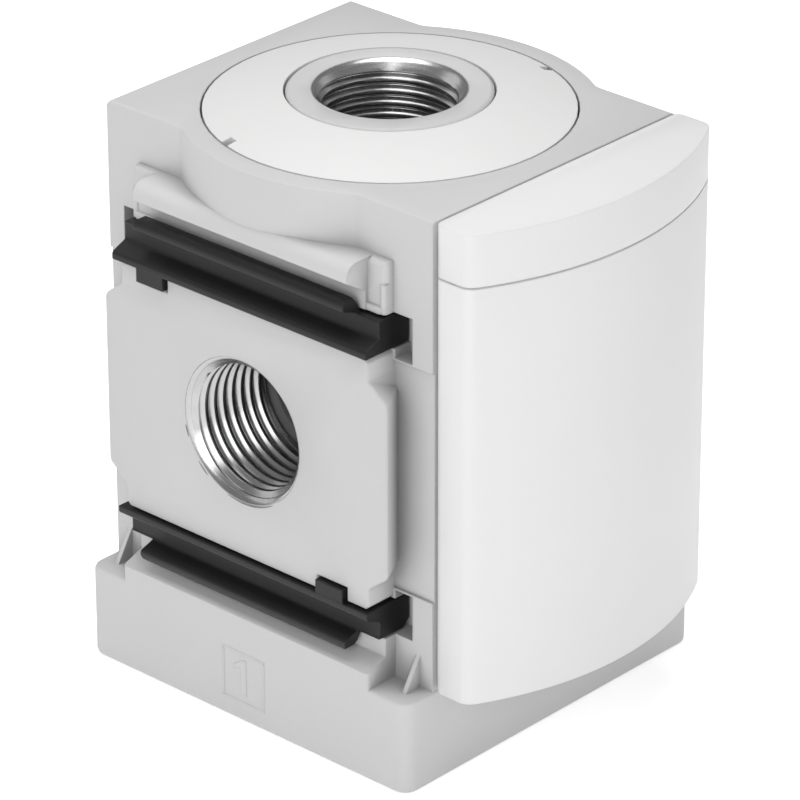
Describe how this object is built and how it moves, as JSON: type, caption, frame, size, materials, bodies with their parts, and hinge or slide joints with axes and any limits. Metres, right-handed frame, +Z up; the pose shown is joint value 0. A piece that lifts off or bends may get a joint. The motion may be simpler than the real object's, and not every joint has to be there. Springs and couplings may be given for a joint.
{
  "type": "manifold branching module",
  "caption": "Junction block for a compressed-air service unit: cast housing with threaded ports at the sides, top and base, a curved front cover and black clamp rails.",
  "frame": {"origin": "middle of the footprint, on the underside of the base flange", "axes": "+Z up along the vertical ports, -Y towards the curved front cover, X along the through ports from side pad to side pad"},
  "size_m": [0.062, 0.0758, 0.0891],
  "materials": {
    "housing_cast": "light grey die-cast aluminium with a fine matt coat, bare bright metal in the threads",
    "disc_plastic": "very light grey satin",
    "cover_plastic": "white satin, finely grained",
    "cover_cap_plastic": "white satin, finely grained",
    "rail_plastic": "black satin"
  },
  "bodies": {
    "root": {"housing": "housing_cast", "top_cap_disc": "disc_plastic", "bottom_cap_disc": "disc_plastic", "front_cover": "cover_plastic", "front_cover_cap": "cover_cap_plastic", "rail_left_upper": "rail_plastic", "rail_left_lower": "rail_plastic", "rail_right_upper": "rail_plastic", "rail_right_lower": "rail_plastic"}
  },
  "joints": []
}
